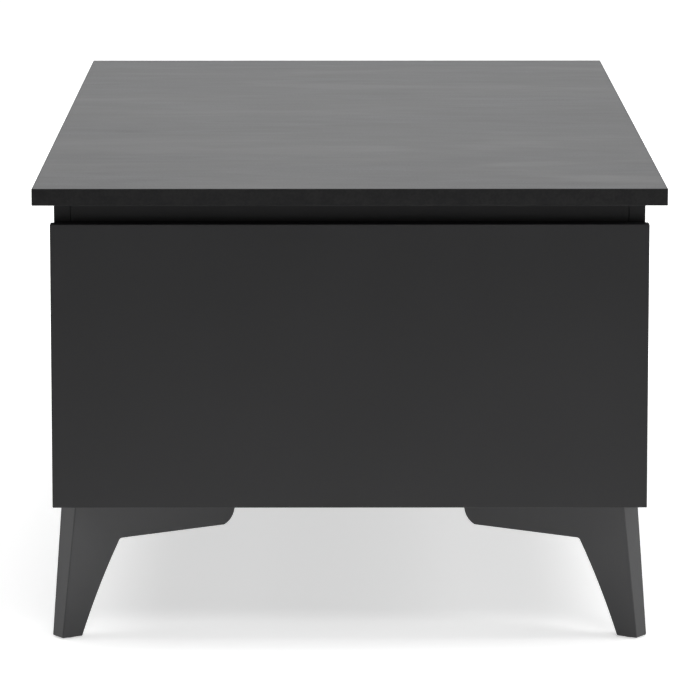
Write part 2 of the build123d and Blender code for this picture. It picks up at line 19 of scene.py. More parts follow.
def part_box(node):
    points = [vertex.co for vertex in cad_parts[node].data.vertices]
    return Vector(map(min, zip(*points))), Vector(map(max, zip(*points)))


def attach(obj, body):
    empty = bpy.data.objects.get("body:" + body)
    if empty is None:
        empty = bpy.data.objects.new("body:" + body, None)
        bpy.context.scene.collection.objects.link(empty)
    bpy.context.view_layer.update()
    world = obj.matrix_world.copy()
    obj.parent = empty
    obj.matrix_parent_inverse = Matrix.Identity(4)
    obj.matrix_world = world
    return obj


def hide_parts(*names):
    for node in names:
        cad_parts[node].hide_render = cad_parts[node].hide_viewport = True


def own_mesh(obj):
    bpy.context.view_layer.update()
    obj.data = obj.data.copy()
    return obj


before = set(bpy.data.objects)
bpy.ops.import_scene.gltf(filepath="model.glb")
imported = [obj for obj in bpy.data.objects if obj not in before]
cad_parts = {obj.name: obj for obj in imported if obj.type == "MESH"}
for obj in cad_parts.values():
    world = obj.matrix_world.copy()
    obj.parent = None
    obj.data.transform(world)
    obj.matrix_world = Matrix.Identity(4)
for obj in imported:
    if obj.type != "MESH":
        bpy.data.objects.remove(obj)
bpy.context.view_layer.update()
log = logging.getLogger("coffee_table")

MM = 0.001
MIX_A, MIX_B, MIX_COLOR = 6, 7, 2  # colour sockets of a Mix node


def linear(code: str) -> tuple[float, float, float, float]:
    """Turns an sRGB hex colour into linear light.

    Args:
        code: six hex digits, such as "3a3b3d".

    Returns:
        Red, green, blue and an alpha of 1.
    """
    parts = [int(code[i:i + 2], 16) / 255 for i in (0, 2, 4)]
    red, green, blue = (c / 12.92 if c <= 0.04045 else ((c + 0.055) / 1.055) ** 2.4 for c in parts)
    return red, green, blue, 1.0


def per_metre(size_mm: float) -> float:
    """Texture scale that gives features of the size, on coordinates in metres."""
    return 1000.0 / size_mm


def add_node(tree: bpy.types.NodeTree, kind: str, inputs: dict[Any, Any] | None = None,
             **settings: Any) -> bpy.types.Node:
    """Adds a node with its settings, constant inputs and incoming links.

    Args:
        tree: the node tree.
        kind: the node's type name.
        inputs: by input name or index, a constant, a socket to link, or a list of sockets.
        **settings: attributes of the node.

    Returns:
        The new node.
    """
    made = tree.nodes.new(kind)
    for name, value in settings.items():
        setattr(made, name, value)
    for key, value in (inputs or {}).items():
        sources = value if isinstance(value, list) else [value]
        for source in sources:
            if isinstance(source, bpy.types.NodeSocket):
                tree.links.new(source, made.inputs[key])
            else:
                made.inputs[key].default_value = source
    return made


# ---- finishes ------------------------------------------------------------------------------------
@dataclass(frozen=True)
class Finish:
    """A surface in one colour with a faint mottle of a second, and a fine texture."""

    title: str
    color: str
    shade: str
    roughness: float
    mottle_mm: float = 60.0
    grain_mm: float = 0.8
    grain_depth_mm: float = 0.02
    grain_tint: float = 0.15
    roughness_spread: float = 0.05
    metallic: float = 0.0
    specular: float = 0.5
    stretch: tuple[float, float, float] = (1.0, 1.0, 1.0)

    def build(self) -> bpy.types.Material:
        """Makes the node material, named for the real surface.

        Returns:
            The material.
        """
        material = bpy.data.materials.new(self.title)
        material.use_nodes = True
        tree = material.node_tree
        shader = next(n for n in tree.nodes if n.type == "BSDF_PRINCIPLED")
        shader.inputs["Metallic"].default_value = self.metallic
        shader.inputs["Specular IOR Level"].default_value = self.specular
        place = add_node(tree, "ShaderNodeTexCoord").outputs["Object"]
        color, cloudy, height = self.pattern(tree, place)
        rough = add_node(tree, "ShaderNodeMapRange", {
            "Value": cloudy, "From Min": 0.3, "From Max": 0.7,
            "To Min": self.roughness - self.roughness_spread,
            "To Max": self.roughness + self.roughness_spread}).outputs["Result"]
        bump = add_node(tree, "ShaderNodeBump", {"Distance": self.grain_depth_mm * MM, "Height": height})
        tree.links.new(color, shader.inputs["Base Color"])
        tree.links.new(rough, shader.inputs["Roughness"])
        tree.links.new(bump.outputs["Normal"], shader.inputs["Normal"])
        return material

    def pattern(self, tree: bpy.types.NodeTree, place: Any) -> tuple[Any, Any, Any]:
        """Mixes the two colours by a soft mottle and a fine grain.

        Args:
            tree: the material's tree.
            place: the coordinates' socket.

        Returns:
            Sockets of the colour, the pattern the roughness follows and the relief's height.
        """
        place = add_node(tree, "ShaderNodeMapping", {
            "Vector": place, "Scale": self.stretch}).outputs["Vector"]
        mottle = add_node(tree, "ShaderNodeTexNoise", {
            "Vector": place, "Scale": per_metre(self.mottle_mm), "Detail": 3.0}).outputs["Fac"]
        grain = add_node(tree, "ShaderNodeTexNoise", {
            "Vector": place, "Scale": per_metre(self.grain_mm), "Detail": 2.0}).outputs["Fac"]
        soft = add_node(tree, "ShaderNodeMapRange", {
            "Value": mottle, "From Min": 0.3, "From Max": 0.7}, clamp=False).outputs["Result"]
        fine = add_node(tree, "ShaderNodeMapRange", {
            "Value": grain, "From Min": 0.3, "From Max": 0.7, "To Min": -self.grain_tint,
            "To Max": self.grain_tint}, clamp=False).outputs["Result"]
        share = add_node(tree, "ShaderNodeMath", {0: soft, 1: fine}, operation="ADD", use_clamp=True)
        color = add_node(tree, "ShaderNodeMix", {
            "Factor": share.outputs["Value"], MIX_A: linear(self.color), MIX_B: linear(self.shade)},
            data_type="RGBA").outputs[MIX_COLOR]
        return color, mottle, grain


@dataclass(frozen=True)
class SlateLaminate(Finish):
    """Matt laminate printed like slate: soft clouds, slanting drifts, thin wisps and fine grit."""

    drift_color: str = "4c4d4f"
    backing: str = "2a2a2b"
    cloud_mm: float = 170.0
    drift_mm: float = 120.0
    drift_turn: float = 38.0
    wisp_mm: float = 22.0

    def pattern(self, tree: bpy.types.NodeTree, place: Any) -> tuple[Any, Any, Any]:
        """Prints the slate pattern on the upper side and leaves a dark backing foil below.

        Args:
            tree: the material's tree.
            place: the coordinates' socket.

        Returns:
            Sockets of the colour, the pattern the roughness follows and the relief's height.
        """
        cloud = add_node(tree, "ShaderNodeTexNoise", {
            "Vector": place, "Scale": per_metre(self.cloud_mm), "Detail": 5.0, "Roughness": 0.6,
            "Distortion": 0.4}).outputs["Fac"]
        slant = add_node(tree, "ShaderNodeMapping", {
            "Vector": place, "Rotation": (0.0, 0.0, math.radians(self.drift_turn)), "Scale": (0.3, 1.0, 1.0)})
        drift = add_node(tree, "ShaderNodeTexNoise", {
            "Vector": slant.outputs["Vector"], "Scale": per_metre(self.drift_mm), "Detail": 6.0,
            "Roughness": 0.55, "Distortion": 0.9}).outputs["Fac"]
        flat = add_node(tree, "ShaderNodeMapping", {"Vector": place, "Scale": (0.22, 1.0, 1.0)})
        wisp = add_node(tree, "ShaderNodeTexNoise", {
            "Vector": flat.outputs["Vector"], "Scale": per_metre(self.wisp_mm), "Detail": 4.0,
            "Roughness": 0.6, "Distortion": 0.5}).outputs["Fac"]
        grit = add_node(tree, "ShaderNodeTexNoise", {
            "Vector": place, "Scale": per_metre(self.grain_mm), "Detail": 2.0}).outputs["Fac"]
        clouds = add_node(tree, "ShaderNodeMapRange", {"Value": cloud, "From Min": 0.35, "From Max": 0.65})
        drifts = add_node(tree, "ShaderNodeMapRange", {
            "Value": drift, "From Min": 0.45, "From Max": 0.72, "To Max": 0.8})
        base = add_node(tree, "ShaderNodeMix", {
            "Factor": clouds.outputs["Result"], MIX_A: linear(self.color), MIX_B: linear(self.shade)},
            data_type="RGBA").outputs[MIX_COLOR]
        veined = add_node(tree, "ShaderNodeMix", {
            "Factor": drifts.outputs["Result"], MIX_A: base, MIX_B: linear(self.drift_color)},
            data_type="RGBA").outputs[MIX_COLOR]
        wisps = add_node(tree, "ShaderNodeMapRange", {
            "Value": wisp, "From Min": 0.3, "From Max": 0.7, "To Min": 1.0 - self.grain_tint,
            "To Max": 1.0 + self.grain_tint}, clamp=False)
        grits = add_node(tree, "ShaderNodeMapRange", {
            "Value": grit, "From Min": 0.3, "From Max": 0.7, "To Min": 1.0 - self.grain_tint,
            "To Max": 1.0 + self.grain_tint}, clamp=False)
        light = add_node(tree, "ShaderNodeMath", {
            0: wisps.outputs["Result"], 1: grits.outputs["Result"]}, operation="MULTIPLY")
        printed = add_node(tree, "ShaderNodeVectorMath", {0: veined, "Scale": light.outputs["Value"]},
                           operation="SCALE")
        normal = add_node(tree, "ShaderNodeNewGeometry").outputs["Normal"]
        facing = add_node(tree, "ShaderNodeSeparateXYZ", {0: normal}).outputs["Z"]
        upper = add_node(tree, "ShaderNodeMath", {0: facing, 1: 0.5}, operation="GREATER_THAN")
        color = add_node(tree, "ShaderNodeMix", {
            "Factor": upper.outputs["Value"], MIX_A: linear(self.backing), MIX_B: printed.outputs["Vector"]},
            data_type="RGBA").outputs[MIX_COLOR]
        relief = add_node(tree, "ShaderNodeMath", {0: wisp, 1: 0.6, 2: grit}, operation="MULTIPLY_ADD")
        return color, drift, relief.outputs["Value"]


@dataclass(frozen=True)
class WoodGrain(Finish):
    """Timber with long pores, under a coat or bare."""

    ring_mm: float = 14.0
    pore_mm: float = 0.6

    def pattern(self, tree: bpy.types.NodeTree, place: Any) -> tuple[Any, Any, Any]:
        """Runs wide growth bands and long pores along the piece.

        Args:
            tree: the material's tree.
            place: the coordinates' socket.

        Returns:
            Sockets of the colour, the pattern the roughness follows and the relief's height.
        """
        along = add_node(tree, "ShaderNodeMapping", {
            "Vector": place, "Scale": self.stretch}).outputs["Vector"]
        bands = add_node(tree, "ShaderNodeTexNoise", {
            "Vector": along, "Scale": per_metre(self.ring_mm), "Detail": 3.0,
            "Distortion": 0.8}).outputs["Fac"]
        pores = add_node(tree, "ShaderNodeTexNoise", {
            "Vector": along, "Scale": per_metre(self.pore_mm), "Detail": 2.0,
            "Roughness": 0.7}).outputs["Fac"]
        share = add_node(tree, "ShaderNodeMath", {0: pores, 1: self.grain_tint, 2: bands},
                         operation="MULTIPLY_ADD", use_clamp=True)
        wide = add_node(tree, "ShaderNodeMapRange", {
            "Value": share.outputs["Value"], "From Min": 0.35, "From Max": 0.85})
        color = add_node(tree, "ShaderNodeMix", {
            "Factor": wide.outputs["Result"], MIX_A: linear(self.color), MIX_B: linear(self.shade)},
            data_type="RGBA").outputs[MIX_COLOR]
        return color, bands, pores


class Surface(Enum):
    """Every finish on the table, by what it is and how it was made."""

    # Dry to the touch, so it has no clear reflection, only a pale sheen at a low angle.
    SLATE = SlateLaminate("slate_print_matt_laminate", "343536", "2c2d2f", 0.55,
                          grain_mm=2.2, grain_depth_mm=0.03, grain_tint=0.28, specular=0.42)
    # Thin plastic strip with the same print, much duller and darker than the face.
    EDGE_BAND = Finish("abs_edge_band_slate_print", "101011", "1a1a1a", 0.62,
                       mottle_mm=9.0, grain_mm=2.6, grain_depth_mm=0.03, grain_tint=0.5, specular=0.17)
    # Silky foil pressed round the front: even, with a very fine texture.
    FOIL = Finish("pressed_foil_satin_anthracite", "1b1b1c", "1e1e1f", 0.48,
                  mottle_mm=140.0, grain_mm=1.6, grain_depth_mm=0.012, grain_tint=0.25, specular=0.27)
    # Board with a baked melamine skin, a touch rougher than the foil.
    MELAMINE = Finish("melamine_board_anthracite", "1b1b1c", "1e1e1f", 0.52,
                      mottle_mm=110.0, grain_mm=1.4, grain_depth_mm=0.02, grain_tint=0.3, specular=0.22)
    # Drawer box board in mid grey, pressed with a fine linen texture.
    DRAWER_BOARD = Finish("melamine_board_linen_grey", "6b6b6c", "747475", 0.5,
                          mottle_mm=40.0, grain_mm=1.8, grain_depth_mm=0.03, grain_tint=0.4,
                          stretch=(1.0, 0.35, 0.35))
    # Sprayed satin lacquer on beech: the pores are filled and only just show.
    LEG = WoodGrain("satin_lacquer_on_beech_anthracite", "2e2e2f", "323233", 0.42, ring_mm=30.0,
                    pore_mm=1.6, grain_tint=0.3, grain_depth_mm=0.02, stretch=(1.0, 1.0, 0.15), specular=0.36)
    # Bare pale wood, only seen where a dowel is pulled out.
    BEECH = WoodGrain("bare_turned_beech", "c39a6b", "a97f52", 0.65, ring_mm=4.0, pore_mm=0.5,
                      grain_depth_mm=0.05, stretch=(0.15, 1.0, 1.0))
    # Bright, slightly cloudy plating with a small crystal grain.
    ZINC = Finish("zinc_plated_steel", "b9bcc0", "a2a6ab", 0.3, mottle_mm=8.0, grain_mm=0.5,
                  grain_depth_mm=0.008, roughness_spread=0.07, metallic=1.0)
    # Long faint lines along the run, left by the forming rollers.
    ROLLED_ZINC = Finish("roll_formed_zinc_steel", "a9adb2", "979ba1", 0.34, mottle_mm=30.0, grain_mm=0.7,
                         grain_depth_mm=0.01, roughness_spread=0.06, metallic=1.0, stretch=(1.0, 0.08, 1.0))
    # Baked powder with an orange-peel skin, drawn coarser than it is so that it shows.
    POWDER = Finish("black_powder_coat", "1c1c1d", "242425", 0.5, mottle_mm=12.0, grain_mm=1.2,
                    grain_depth_mm=0.05, grain_tint=0.3)
    # Drawn wire under a film of oil: darker than plating and with sharper glints.
    SPRING = Finish("oiled_spring_wire", "6f7276", "5c5f63", 0.28, mottle_mm=10.0, grain_mm=0.5,
                    grain_depth_mm=0.006, metallic=1.0)
    # Waxy off-white plastic.
    NYLON = Finish("natural_nylon", "cfccc2", "c2bfb4", 0.4, mottle_mm=5.0, grain_mm=0.7)
    RUBBER = Finish("soft_black_rubber", "161616", "1e1e1e", 0.7, mottle_mm=4.0, grain_mm=0.6,
                    grain_depth_mm=0.03)
    GLIDE = Finish("moulded_polyethylene_black", "1a1a1a", "222222", 0.45, mottle_mm=5.0, grain_mm=0.7)
    PAPER = Finish("seamless_studio_paper", "f2f2f2", "f4f4f4", 0.9, mottle_mm=900.0, grain_mm=8.0,
                   grain_depth_mm=0.0, specular=0.1)


@dataclass
class Paintbox:
    """Makes each finish once and hands it out."""

    made: dict[Surface, bpy.types.Material] = field(default_factory=dict)

    def take(self, surface: Surface) -> bpy.types.Material:
        """Returns the material of a surface, made on first use."""
        if surface not in self.made:
            self.made[surface] = surface.value.build()
        return self.made[surface]

    def paint(self, obj: bpy.types.Object, surface: Surface) -> None:
        """Puts a surface on every slot of an object.

        Args:
            obj: a CAD node's object or a piece.
            surface: the finish to wear.
        """
        if not obj.material_slots:
            obj.data.materials.append(self.take(surface))
        for slot in obj.material_slots:
            slot.material = self.take(surface)


# ---- turned pieces: screws, rivets, cams, bumpers and glides ---------------------------------------
class Drive(Enum):
    """What is cut into the head of a turned piece."""

    NONE = "plain"
    CROSS = "cross"
    HEX = "hex_socket"


@dataclass(frozen=True)
class Seat:
    """Where a turned piece sits: the middle of its head's underside, and the way its head looks."""

    point: Vector
    out: Vector


@dataclass(frozen=True)
class Turned:
    """Sizes in mm of a round headed piece. Its head stands on the seat and its shank goes in."""

    head_radius: float
    head_height: float
    dome: float
    shank_radius: float
    shank_length: float
    drive: Drive = Drive.NONE
    drive_width: float = 4.0
    drive_depth: float = 1.0
    thread_pitch: float = 0.0
    facets: int = 24

    def tree(self) -> bpy.types.NodeTree:
        """Builds the Geometry Nodes tree that sets this piece on points.

        Returns:
            The tree, with named inputs for every size.
        """
        tree = bpy.data.node_groups.new(f"turned_{self.drive.value}", "GeometryNodeTree")
        tree.interface.new_socket("Seats", in_out="INPUT", socket_type="NodeSocketGeometry")
        sizes = ("Head Radius", "Head Height", "Dome", "Shank Radius", "Shank Length", "Drive Width",
                 "Drive Depth", "Thread Pitch")
        for name in sizes:
            tree.interface.new_socket(name, in_out="INPUT", socket_type="NodeSocketFloat")
        tree.interface.new_socket("Facets", in_out="INPUT", socket_type="NodeSocketInt")
        tree.interface.new_socket("Material", in_out="INPUT", socket_type="NodeSocketMaterial")
        tree.interface.new_socket("Pieces", in_out="OUTPUT", socket_type="NodeSocketGeometry")
        given = add_node(tree, "NodeGroupInput").outputs
        head = self.drill_head(tree, given, self.dome_head(tree, given))
        parts = [head]
        if self.shank_length:
            parts += self.shank(tree, given)
        joined = add_node(tree, "GeometryNodeJoinGeometry", {"Geometry": parts}).outputs["Geometry"]
        way = add_node(tree, "GeometryNodeInputNamedAttribute", {"Name": "out"}, data_type="FLOAT_VECTOR")
        aligned = add_node(tree, "FunctionNodeAlignRotationToVector", {
            "Vector": way.outputs["Attribute"]}, axis="Z").outputs["Rotation"]
        spin = add_node(tree, "FunctionNodeRandomValue", {
            "Min": (0.0, 0.0, 0.0), "Max": (0.0, 0.0, math.tau), "Seed": 7},
            data_type="FLOAT_VECTOR").outputs["Value"]
        turned = add_node(tree, "FunctionNodeRotateRotation", {
            "Rotation": aligned, "Rotate By": spin}, rotation_space="LOCAL").outputs["Rotation"]
        placed = add_node(tree, "GeometryNodeInstanceOnPoints", {
            "Points": given["Seats"], "Instance": joined, "Rotation": turned}).outputs["Instances"]
        real = add_node(tree, "GeometryNodeRealizeInstances", {"Geometry": placed}).outputs["Geometry"]
        dressed = add_node(tree, "GeometryNodeSetMaterial", {"Geometry": real, "Material": given["Material"]})
        add_node(tree, "NodeGroupOutput", {"Pieces": dressed.outputs["Geometry"]})
        return tree

    def dome_head(self, tree: bpy.types.NodeTree, given: Any) -> Any:
        """Turns the head: a disc whose top falls away towards its rim.

        Args:
            tree: the tree under construction.
            given: the tree's inputs.

        Returns:
            The head's geometry socket.
        """
        disc = add_node(tree, "GeometryNodeMeshCylinder", {
            "Vertices": given["Facets"], "Side Segments": 2, "Fill Segments": 5,
            "Radius": given["Head Radius"], "Depth": given["Head Height"]}, fill_type="TRIANGLE_FAN")
        place = add_node(tree, "GeometryNodeInputPosition").outputs["Position"]
        axes = add_node(tree, "ShaderNodeSeparateXYZ", {0: place}).outputs
        flat = add_node(tree, "ShaderNodeCombineXYZ", {"X": axes["X"], "Y": axes["Y"]}).outputs["Vector"]
        reach = add_node(tree, "ShaderNodeVectorMath", {0: flat}, operation="LENGTH").outputs["Value"]
        share = add_node(tree, "ShaderNodeMath", {0: reach, 1: given["Head Radius"]}, operation="DIVIDE")
        curve = add_node(tree, "ShaderNodeMath", {0: share.outputs["Value"], 1: 3.0}, operation="POWER")
        fall = add_node(tree, "ShaderNodeMath", {0: curve.outputs["Value"], 1: given["Dome"]},
                        operation="MULTIPLY")
        down = add_node(tree, "ShaderNodeMath", {0: fall.outputs["Value"], 1: -1.0}, operation="MULTIPLY")
        drop = add_node(tree, "ShaderNodeCombineXYZ", {"Z": down.outputs["Value"]}).outputs["Vector"]
        limit = add_node(tree, "ShaderNodeMath", {0: given["Head Height"], 1: 0.4}, operation="MULTIPLY")
        top = add_node(tree, "FunctionNodeCompare", {
            "A": axes["Z"], "B": limit.outputs["Value"]}, data_type="FLOAT", operation="GREATER_THAN")
        domed = add_node(tree, "GeometryNodeSetPosition", {
            "Geometry": disc.outputs["Mesh"], "Selection": top.outputs["Result"], "Offset": drop})
        half = add_node(tree, "ShaderNodeMath", {0: given["Head Height"], 1: 0.5}, operation="MULTIPLY")
        lift = add_node(tree, "ShaderNodeCombineXYZ", {"Z": half.outputs["Value"]}).outputs["Vector"]
        return add_node(tree, "GeometryNodeTransform", {
            "Geometry": domed.outputs["Geometry"], "Translation": lift}).outputs["Geometry"]

    def drill_head(self, tree: bpy.types.NodeTree, given: Any, head: Any) -> Any:
        """Cuts the drive into the head.

        Args:
            tree: the tree under construction.
            given: the tree's inputs.
            head: the head's geometry socket.

        Returns:
            The cut head's geometry socket.
        """
        if self.drive is Drive.NONE:
            return head
        deep = add_node(tree, "ShaderNodeMath", {0: given["Drive Depth"], 1: 2.0}, operation="MULTIPLY")
        lift = add_node(tree, "ShaderNodeCombineXYZ", {"Z": given["Head Height"]}).outputs["Vector"]
        if self.drive is Drive.HEX:
            half = add_node(tree, "ShaderNodeMath", {0: given["Drive Width"], 1: 0.5}, operation="MULTIPLY")
            tools = [add_node(tree, "GeometryNodeMeshCylinder", {
                "Vertices": 6, "Radius": half.outputs["Value"], "Depth": deep.outputs["Value"]})]
        else:
            thin = add_node(tree, "ShaderNodeMath", {0: given["Drive Width"], 1: 0.22}, operation="MULTIPLY")
            tools = []
            for ways in (("X", "Y"), ("Y", "X")):
                size = add_node(tree, "ShaderNodeCombineXYZ", {
                    ways[0]: given["Drive Width"], ways[1]: thin.outputs["Value"],
                    "Z": deep.outputs["Value"]})
                tools.append(add_node(tree, "GeometryNodeMeshCube", {"Size": size.outputs["Vector"]}))
        for tool in tools:
            raised = add_node(tree, "GeometryNodeTransform", {
                "Geometry": tool.outputs["Mesh"], "Translation": lift}).outputs["Geometry"]
            head = add_node(tree, "GeometryNodeMeshBoolean", {
                "Mesh 1": head, "Mesh 2": raised}, operation="DIFFERENCE", solver="EXACT").outputs["Mesh"]
        return head

    def shank(self, tree: bpy.types.NodeTree, given: Any) -> list[Any]:
        """Turns the shank, and winds a thread round it where it has one.

        Args:
            tree: the tree under construction.
            given: the tree's inputs.

        Returns:
            Geometry sockets of the shank and its thread.
        """
        core_share = 0.78 if self.thread_pitch else 1.0
        core = add_node(tree, "ShaderNodeMath", {0: given["Shank Radius"], 1: core_share},
                        operation="MULTIPLY").outputs["Value"]
        rod = add_node(tree, "GeometryNodeMeshCylinder", {
            "Vertices": 14, "Radius": core, "Depth": given["Shank Length"]})
        half = add_node(tree, "ShaderNodeMath", {0: given["Shank Length"], 1: -0.5}, operation="MULTIPLY")
        down = add_node(tree, "ShaderNodeCombineXYZ", {"Z": half.outputs["Value"]}).outputs["Vector"]
        parts = [add_node(tree, "GeometryNodeTransform", {
            "Geometry": rod.outputs["Mesh"], "Translation": down}).outputs["Geometry"]]
        if self.thread_pitch:
            turns = add_node(tree, "ShaderNodeMath", {
                0: given["Shank Length"], 1: given["Thread Pitch"]}, operation="DIVIDE")
            helix = add_node(tree, "GeometryNodeCurveSpiral", {
                "Resolution": 10, "Rotations": turns.outputs["Value"], "Start Radius": core,
                "End Radius": core, "Height": given["Shank Length"]})
            crest = add_node(tree, "ShaderNodeMath", {0: given["Shank Radius"], 1: core},
                             operation="SUBTRACT")
            ridge = add_node(tree, "GeometryNodeCurvePrimitiveCircle", {
                "Resolution": 3, "Radius": crest.outputs["Value"]}, mode="RADIUS")
            wound = add_node(tree, "GeometryNodeCurveToMesh", {
                "Curve": helix.outputs["Curve"], "Profile Curve": ridge.outputs["Curve"], "Fill Caps": True})
            full = add_node(tree, "ShaderNodeMath", {0: given["Shank Length"], 1: -1.0}, operation="MULTIPLY")
            low = add_node(tree, "ShaderNodeCombineXYZ", {"Z": full.outputs["Value"]}).outputs["Vector"]
            parts.append(add_node(tree, "GeometryNodeTransform", {
                "Geometry": wound.outputs["Mesh"], "Translation": low}).outputs["Geometry"])
        return parts

    def make(self, name: str, seats: list[Seat], material: bpy.types.Material) -> bpy.types.Object:
        """Sets this piece on every seat, as one plain mesh.

        Args:
            name: name of the new object.
            seats: where the pieces go.
            material: the finish they wear.

        Returns:
            The object, at the origin, with its place in its mesh.
        """
        mesh = bpy.data.meshes.new(name)
        mesh.from_pydata([seat.point for seat in seats], [], [])
        ways = mesh.attributes.new("out", "FLOAT_VECTOR", "POINT")
        ways.data.foreach_set("vector", [c for seat in seats for c in seat.out])
        values = {
            "Head Radius": self.head_radius * MM, "Head Height": self.head_height * MM,
            "Dome": self.dome * MM, "Shank Radius": self.shank_radius * MM,
            "Shank Length": self.shank_length * MM, "Drive Width": self.drive_width * MM,
            "Drive Depth": self.drive_depth * MM, "Thread Pitch": self.thread_pitch * MM,
            "Facets": self.facets, "Material": material}
        return grow(name, mesh, self.tree(), values)


@dataclass(frozen=True)
class BentWire:
    """Round wire, with its radius in mm, that follows a path."""

    radius: float
    facets: int = 8

    def tree(self) -> bpy.types.NodeTree:
        """Builds the Geometry Nodes tree that sweeps the wire along a path of edges.

        Returns:
            The tree, with named inputs for the wire's radius, facets and material.
        """
        tree = bpy.data.node_groups.new("bent_wire", "GeometryNodeTree")
        tree.interface.new_socket("Path", in_out="INPUT", socket_type="NodeSocketGeometry")
        tree.interface.new_socket("Radius", in_out="INPUT", socket_type="NodeSocketFloat")
        tree.interface.new_socket("Facets", in_out="INPUT", socket_type="NodeSocketInt")
        tree.interface.new_socket("Material", in_out="INPUT", socket_type="NodeSocketMaterial")
        tree.interface.new_socket("Wire", in_out="OUTPUT", socket_type="NodeSocketGeometry")
        given = add_node(tree, "NodeGroupInput").outputs
        line = add_node(tree, "GeometryNodeMeshToCurve", {"Mesh": given["Path"]}).outputs["Curve"]
        section = add_node(tree, "GeometryNodeCurvePrimitiveCircle", {
            "Resolution": given["Facets"], "Radius": given["Radius"]}, mode="RADIUS").outputs["Curve"]
        swept = add_node(tree, "GeometryNodeCurveToMesh", {
            "Curve": line, "Profile Curve": section, "Fill Caps": True}).outputs["Mesh"]
        real = add_node(tree, "GeometryNodeRealizeInstances", {"Geometry": swept}).outputs["Geometry"]
        dressed = add_node(tree, "GeometryNodeSetMaterial", {"Geometry": real, "Material": given["Material"]})
        add_node(tree, "NodeGroupOutput", {"Wire": dressed.outputs["Geometry"]})
        return tree

    def make(self, name: str, points: list[Vector], material: bpy.types.Material) -> bpy.types.Object:
        """Bends a wire along points.

        Args:
            name: name of the piece.
            points: the wire's centre line.
            material: the wire's finish.

        Returns:
            The piece, its faces pointing outwards.
        """
        mesh = bpy.data.meshes.new(name)
        mesh.from_pydata(points, [(i, i + 1) for i in range(len(points) - 1)], [])
        piece = grow(name, mesh, self.tree(), {
            "Radius": self.radius * MM, "Facets": self.facets, "Material": material})
        shell = bmesh.new()
        shell.from_mesh(piece.data)
        bmesh.ops.recalc_face_normals(shell, faces=shell.faces)
        shell.to_mesh(piece.data)
        shell.free()
        return piece


def grow(name: str, mesh: bpy.types.Mesh, tree: bpy.types.NodeTree,
         values: dict[str, Any]) -> bpy.types.Object:
    """Runs a Geometry Nodes tree on a mesh and keeps the result as a plain mesh.

    Args:
        name: name of the object.
        mesh: the mesh that the tree starts from.
        tree: the tree.
        values: the tree's inputs by name.

    Returns:
        The object without its modifier.
    """
    obj = bpy.data.objects.new(name, mesh)
    bpy.context.scene.collection.objects.link(obj)
    modifier = obj.modifiers.new("shape", "NODES")
    modifier.node_group = tree
    for item in tree.interface.items_tree:
        if item.item_type == "SOCKET" and item.in_out == "INPUT" and item.name in values:
            modifier[item.identifier] = values[item.name]
    graph = bpy.context.evaluated_depsgraph_get()
    shaped = bpy.data.meshes.new_from_object(obj.evaluated_get(graph))
    obj.modifiers.remove(modifier)
    obj.data = shaped
    shaped.name = name
    smooth(shaped)
    return obj


def smooth(mesh: bpy.types.Mesh, degrees: float = 35.0) -> None:
    """Shades a mesh smooth except at edges sharper than the angle."""
    mesh.shade_smooth()
    mesh.set_sharp_from_angle(angle=math.radians(degrees))


@dataclass(frozen=True)
class RoundSolid:
    """One round solid of a CAD node: its box, its axis and which end carries a head."""

    low: Vector
    high: Vector
    axis: int
    head_high: bool

    @property
    def middle(self) -> Vector:
        """Middle of the solid's box."""
        return (self.low + self.high) / 2

    @property
    def length(self) -> float:
        """Length along the axis."""
        return (self.high - self.low)[self.axis]

    def end(self, upper: bool) -> Vector:
        """Middle of the solid's upper or lower end face."""
        point = self.middle.copy()
        point[self.axis] = self.high[self.axis] if upper else self.low[self.axis]
        return point

    def way(self, upper: bool) -> Vector:
        """Unit vector out of the upper or lower end."""
        out = Vector((0.0, 0.0, 0.0))
        out[self.axis] = 1.0 if upper else -1.0
        return out

    def seat(self, head_height: float, upper: bool | None = None) -> Seat:
        """Where the underside of its head is.

        Args:
            head_height: height of the head, in metres.
            upper: which end has the head, or None for the wider end.

        Returns:
            The seat.
        """
        side = self.head_high if upper is None else upper
        out = self.way(side)
        return Seat(self.end(side) - out * head_height, out)


def round_solids(node: str) -> list[RoundSolid]:
    """Finds the separate round solids of a CAD node, in the row's frame.

    Args:
        node: name of a CAD node that holds a group of pins, screws or discs.

    Returns:
        One entry for each solid, in a fixed order.
    """
    shape = bmesh.new()
    shape.from_mesh(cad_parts[node].data)
    bmesh.ops.remove_doubles(shape, verts=shape.verts, dist=0.000002)
    waiting = set(shape.verts)
    found = []
    while waiting:
        island, edge = set(), [waiting.pop()]
        while edge:
            vert = edge.pop()
            island.add(vert)
            near = {e.other_vert(vert) for e in vert.link_edges} & waiting
            waiting -= near
            edge += near
        found.append(measure([v.co.copy() for v in island]))
    shape.free()
    return sorted(found, key=lambda solid: tuple(round(c, 5) for c in solid.low))


def measure(points: list[Vector]) -> RoundSolid:
    """Finds the box, axis and head end of one round solid.

    Args:
        points: the solid's corner points.

    Returns:
        The round solid.
    """
    low = Vector([min(p[i] for p in points) for i in range(3)])
    high = Vector([max(p[i] for p in points) for i in range(3)])
    size = high - low
    axis = min(range(3), key=lambda i: abs(size[(i + 1) % 3] - size[(i + 2) % 3]))
    middle = (low + high) / 2

    def reach(p: Vector) -> float:
        """Distance of a point from the axis."""
        away = p - middle
        away[axis] = 0.0
        return away.length

    widest = max(points, key=reach)
    return RoundSolid(low, high, axis, widest[axis] > middle[axis])


